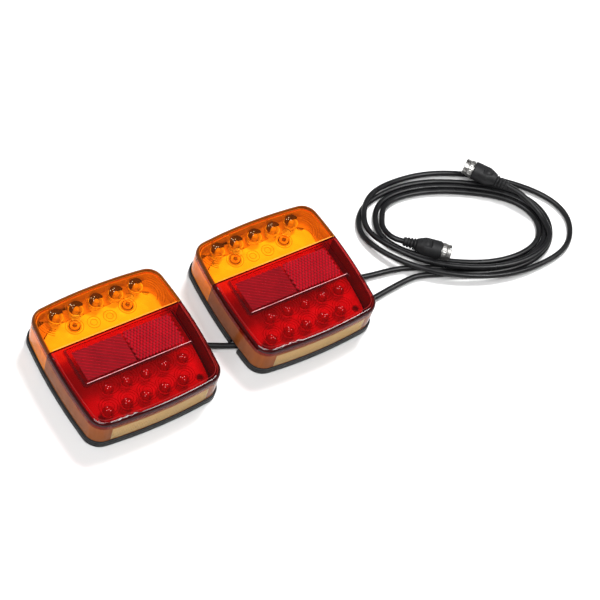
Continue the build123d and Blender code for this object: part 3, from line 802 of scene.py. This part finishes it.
def make_prism_field(side):
    """Prisms under the reflector's cover: slanting ridges on one half, cube corners on the other, their
    facets in a painted lit red and in painted shade.
    """
    bm = bmesh.new()
    half_x, half_y = REFLEX_HALF[0] - PRISM_BORDER[0], REFLEX_HALF[1] - PRISM_BORDER[1]
    slant = math.radians(RIDGE_SLANT)
    along = Vector((math.cos(slant), math.sin(slant), 0.0))
    across = Vector((-math.sin(slant), math.cos(slant), 0.0)) * RIDGE_PITCH
    middle = Vector((-half_x / 2, REFLEX_Y, 0.0))
    for k in range(-12, 13):
        crest = middle + across * k
        # one side of each ridge in painted shade, the other in the painted lit red
        for share, lit_or_shade in ((-0.62, 1), (0.38, 0)):
            foot = crest + across * share
            rows = [
                [foot + along * reach + Vector((0, 0, PRISM_FLOOR)) for reach in range(-60, 61, 4)],
                [crest + along * reach + Vector((0, 0, PRISM_TOP)) for reach in range(-60, 61, 4)],
            ]
            before = set(bm.faces)
            add_loops(bm, rows, closed=False, caps=False)
            for face in set(bm.faces) - before:
                face.material_index = lit_or_shade
    limits = (
        ((-half_x, 0, 0), (-1, 0, 0)), ((-0.3, 0, 0), (1, 0, 0)),
        ((0, REFLEX_Y - half_y, 0), (0, -1, 0)), ((0, REFLEX_Y + half_y, 0), (0, 1, 0)),
    )
    for place, outward in limits:
        bmesh.ops.bisect_plane(
            bm, geom=bm.verts[:] + bm.edges[:] + bm.faces[:],
            plane_co=place, plane_no=outward, clear_outer=True,
        )
    corner = PRISM_PITCH / math.sqrt(3)
    for row in range(-12, 13):
        for column in range(21):
            x = PRISM_PITCH * (column + 0.5 * (row % 2)) + 0.5 * PRISM_PITCH
            y = 1.5 * corner * row
            if x > half_x - 0.6 or abs(y) > half_y - 0.5:
                continue
            tip = bm.verts.new((x, y + REFLEX_Y, PRISM_FLOOR))
            rim = []
            for k in range(6):
                turn = math.radians(30 + 60 * k)
                level = PRISM_FLOOR + (PRISM_TOP - PRISM_FLOOR) * (1.0 if k % 2 else 0.5)
                rim.append(bm.verts.new(on_circle(corner, turn, level, (x, y + REFLEX_Y))))
            # two facets of each corner in painted shade, one in the painted lit red
            for lit_or_shade, k in ((1, 0), (1, 2), (0, 4)):
                face = bm.faces.new((tip, rim[k], rim[k + 1], rim[(k + 2) % 6]))
                face.material_index = lit_or_shade
    field = add_lamp_piece(side, "prism_field", bm, prism_painted_lit, sharp=5.0)
    field.data.materials.append(prism_painted_shade)


def make_post_caps(side):
    """Frosted inside of the two lens posts, where each meets the tray."""
    bm = bmesh.new()
    for end in (-1, 1):
        place = Matrix.Translation((end * POST_PLACE[0], POST_PLACE[1], 0.0))
        profile = [
            (1.7, 16.0), (3.4, 16.0), (3.4, 16.5), (3.1, 16.8), (2.0, 16.9), (1.7, 16.7), (1.7, 16.0),
        ]
        lathe(bm, place, profile, 36, caps=False)
    bmesh.ops.remove_doubles(bm, verts=bm.verts, dist=1e-5)
    add_lamp_piece(side, "post_caps", bm, post_amber)


def make_bosses(side):
    """Raised rings of the tray round the two lens posts and two smaller ones between them."""
    bm = bmesh.new()
    for x in (-POST_PLACE[0], POST_PLACE[0]):
        for radius, bead in ((4.7, 0.3), (6.3, 0.25)):
            ridge(bm, circle(radius, TRAY_TOP + 0.1, 40, (x, POST_PLACE[1])), bead, True)
    for x in (-7.0, 5.5):
        for radius in (2.4, 4.6):
            ridge(bm, circle(radius, TRAY_TOP + 0.1, 32, (x, 30.5)), 0.2, True)
    add_lamp_piece(side, "tray_bosses", bm, boss_relief)


def make_window_flutes(side):
    """Fine upright flutes that spread the light of the plate window."""
    bm = bmesh.new()
    front = [point for point in outline_loop(0.0, 0.0, 60, 8) if point.y < 0 and abs(point.x) < 36.0]
    front.sort(key=lambda point: point.x)
    for point in front[::2]:
        loops = [circle(radius, height, 8, (point.x, point.y + 0.12)) for radius, height in (
            (0.2, 7.4), (0.42, 7.9), (0.42, 18.8), (0.2, 19.3),
        )]
        add_loops(bm, loops)
    add_lamp_piece(side, "window_flutes", bm, looks["clear_window"])


def make_joint_bead(side):
    """Weld line between the two colours of the lens."""
    bm = bmesh.new()
    steps = [Vector((x, COLOUR_LINE + 0.45, FACE)) for x in range(-48, 49, 4)]
    ridge(bm, steps, 0.32)
    add_lamp_piece(side, "joint_bead", bm, joint_amber)


def make_edge_shade(side):
    """Dark line inside the thick round edge of the amber lens: a painted reflection of the dark base in
    the plastic.
    """
    bm = bmesh.new()
    outer = [point for point in outline_loop(SHADE_INSET, 0.0) if point.y > COLOUR_LINE + 0.6]
    outer.sort(key=lambda point: -math.atan2(point.y, point.x))
    inner = [point - point.normalized() * SHADE_WIDTH for point in outer]
    loops = [
        level_copy(outer, SHADE_BOTTOM), level_copy(outer, SHADE_TOP), level_copy(inner, SHADE_TOP),
        level_copy(inner, SHADE_BOTTOM), level_copy(outer, SHADE_BOTTOM),
    ]
    add_loops(bm, loops, closed=False, caps=False)
    bmesh.ops.remove_doubles(bm, verts=bm.verts, dist=1e-4)
    bmesh.ops.holes_fill(bm, edges=bm.edges, sides=8)
    add_lamp_piece(side, "edge_shade", bm, edge_painted_reflection)


def make_face_bead(side):
    """Fine raised line just inside the round edge of the red lens."""
    bm = bmesh.new()
    edge = [point for point in outline_loop(3.4, FACE - 0.02) if point.y < COLOUR_LINE - 0.3]
    edge.sort(key=lambda point: math.atan2(point.x, -point.y))
    ridge(bm, edge, 0.2)
    add_lamp_piece(side, "face_bead", bm, edge_relief)


def make_cover_bead(side):
    """Fine line along the near edge of the reflector's cover, coloured light as a painted highlight."""
    bm = bmesh.new()
    near = REFLEX_Y - REFLEX_HALF[1] + 1.9
    ridge(bm, [Vector((x, near, REFLEX_TOP - 0.24)) for x in range(-40, 41, 4)], 0.22)
    add_lamp_piece(side, "cover_highlight_bead", bm, cover_painted_highlight)


def make_glints(side):
    """Tiny pips on the face over every diode, coloured light as painted glints."""
    over_amber = [(AMBER_PITCH * i - 3.6, AMBER_ROW - 0.5) for i in range(-2, 3)]
    over_red = [(RED_PITCH * i + shift - 3.0, y - 2.6) for y, shift in RED_ROWS for i in range(-2, 3)]
    for colour, look, rows in (("amber", amber_painted_glint, over_amber), ("red", red_painted_glint, over_red)):
        bm = bmesh.new()
        for k, (x, y) in enumerate(rows):
            for n in range(4):
                turn = 2.4 * (k + 1.7 * n)
                reach = 0.7 + 0.45 * n
                place = Matrix.Translation(on_circle(reach, turn, FACE - PIP_SINK, (x, y)))
                bmesh.ops.create_icosphere(bm, subdivisions=2, radius=PIP_RADIUS, matrix=place)
        add_lamp_piece(side, f"{colour}_pips", bm, look)


# ---------------------------------------------------------------- plugs
PLUG_STARTS = {side: TAILS[side][0] for side in SIDES}
PLUG_HEADINGS = {"left": (-0.577, 0.817), "right": (0.759, -0.652)}
THUMB_FLAT = 5.6              # height of the thumb flats from the plug's axis
THUMB_REACH = (13.0, 21.5)
RING_SPAN = (28.8, 32.4)
PLUG_END = 36.0


def plug_frame(side):
    """Matrix whose Z runs along the plug from the end of its strain relief and whose Y points up."""
    along = Vector((*PLUG_HEADINGS[side], 0.0)).normalized()
    across = UP.cross(along)
    turn = Matrix((across, along.cross(across), along)).transposed()
    return Matrix.Translation(PLUG_STARTS[side]) @ turn.to_4x4()


def body_profile():
    """Radius and distance along the moulded body, with its four swollen relief ribs."""
    profile = [(2.6, 0.0), (2.95, 0.15)]
    for rib in range(4):
        crest, start = 3.5 + 0.25 * rib, 0.6 + 2.4 * rib
        profile += [
            (3.0, start - 0.25), (crest - 0.25, start), (crest, start + 0.4), (crest, start + 1.0),
            (crest - 0.25, start + 1.4), (3.05 + 0.12 * rib, start + 1.65),
        ]
    profile += [(4.5, 9.9), (4.7, 10.3), (5.3, 11.8), (6.0, 13.6), (6.6, 15.2), (6.9, 16.3)]
    profile += [(7.0, 17.0 + 0.5 * step) for step in range(21)]
    profile += [(6.93, 27.8), (6.72, 28.2), (6.4, 28.45), (5.9, 28.5)]
    # more loops where the thumb flats bend the surface
    fine = []
    for first, second in zip(profile, profile[1:]):
        steps = max(1, math.ceil((second[1] - first[1]) / 0.45))
        fine += [tuple(a + (b - a) * k / steps for a, b in zip(first, second)) for k in range(steps)]
    return [*fine, profile[-1]]


def make_plug_body(side):
    """Moulded plug body with ribbed relief, thumb flats and a raised pip in each flat."""
    bm = bmesh.new()
    loops = []
    for radius, distance in body_profile():
        ease = min(distance - THUMB_REACH[0], THUMB_REACH[1] - distance) / 0.9
        limit = THUMB_FLAT + (7.4 - THUMB_FLAT) * (1.0 - max(0.0, min(1.0, ease)))
        loop = []
        for point in circle(radius, distance, 88):
            # the pip is a low oval dome in the middle of the flat
            swell = 1.0 - (point.x / 2.2) ** 2 - ((distance - 17.4) / 1.7) ** 2
            top = limit + 0.7 * math.sqrt(swell) if swell > 0 else limit
            loop.append(Vector((point.x, max(-top, min(top, point.y)), distance)))
        loops.append(loop)
    add_loops(bm, loops)
    bm.transform(plug_frame(side))
    body = add_mesh(f"{side}_plug_moulding", bm, looks["plug_black"], sharp=50.0)
    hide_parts(f"{side}_plug_body")
    return body


def add_turned(bm, profile, start=0.0, end=360.0, count=72):
    """Turned solid with a closed outline of (radius, distance), over a part of the circle in degrees."""
    whole = end - start >= 360.0
    loops = []
    for i in range(count + 1):
        turn = math.radians(start + (end - start) * i / count)
        loops.append([on_circle(radius, turn, distance) for radius, distance in profile])
    if whole:
        loops[-1] = loops[0]
    add_loops(bm, loops, caps=not whole)
    if whole:
        bmesh.ops.remove_doubles(bm, verts=bm.verts, dist=1e-5)


def make_plug_shell(side):
    """Plated sleeve and collar, with the keyway cut in the collar's mouth."""
    bm = bmesh.new()
    bore, sleeve, collar = 4.8, 5.42, 6.0
    add_turned(bm, [
        (bore, 28.5), (sleeve, 28.5), (sleeve, 32.6), (5.7, 32.7), (collar, 32.95), (collar, 33.5),
        (5.82, 33.62), (5.82, 33.86), (collar, 34.0), (bore, 34.0),
    ])
    half_key = math.degrees(1.0 / collar)
    add_turned(bm, [
        (bore, 34.0), (collar, 34.0), (collar, 35.6), (5.85, 35.88), (5.6, PLUG_END),
        (5.15, PLUG_END), (4.9, 35.9), (bore, 35.6),
    ], 90.0 + half_key, 450.0 - half_key)
    bm.transform(plug_frame(side))
    shell = add_mesh(f"{side}_plug_sleeve", bm, looks["plug_nickel"], sharp=28.0)
    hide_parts(f"{side}_plug_shell")
    return shell


def make_plug_ring(side):
    """Coupling ring with a knurled middle between two plain rims."""
    bm = bmesh.new()
    begin, end = RING_SPAN
    outline = [
        (5.5, begin), (6.15, begin), (6.4, begin + 0.25), (6.4, begin + 0.55), (6.4, begin + 0.75),
        (6.4, end - 0.75), (6.4, end - 0.55), (6.4, end - 0.25), (6.15, end), (5.5, end),
    ]
    loops = []
    count = 144
    for i in range(count):
        turn = 2 * math.pi * i / count
        groove = (0.0, 0.05, 0.16, 0.2, 0.16, 0.05)[i % 6]
        loop = []
        for radius, distance in outline:
            depth = groove if begin + 0.7 <= distance <= end - 0.7 else 0.0
            loop.append(on_circle(radius - depth, turn, distance))
        loops.append(loop)
    add_loops(bm, [*loops, loops[0]], caps=False)
    bmesh.ops.remove_doubles(bm, verts=bm.verts, dist=1e-5)
    bm.transform(plug_frame(side))
    ring = add_mesh(
        f"{side}_knurled_ring", bm, looks["plug_nickel"], f"{side}_ring", sharp=28.0
    )
    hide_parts(f"{side}_coupling_ring")
    return ring


def paint_cad_nodes():
    """Gives every CAD node the finish of its material slot."""
    for part in frame["record"]["subparts"]:
        for holder in nodes[part["node"]].material_slots:
            holder.material = looks[part["material_slot"]]


def make_lamp(side):
    """Optics of one lamp, behind its CAD lens."""
    make_shade_crescents(side)
    make_amber_relief(side)
    make_red_relief(side)
    make_prism_field(side)
    make_bosses(side)
    make_window_flutes(side)
    make_post_caps(side)
    make_edge_shade(side)
    make_face_bead(side)
    make_cover_bead(side)
    make_joint_bead(side)
    make_shelf(side)
    make_glints(side)


paint_cad_nodes()
make_camera()
make_studio()
make_floor()
for side in SIDES:
    make_lamp(side)
    lead = make_lead(side)
    plug = [make_plug_body(side), make_plug_shell(side), make_plug_ring(side)]
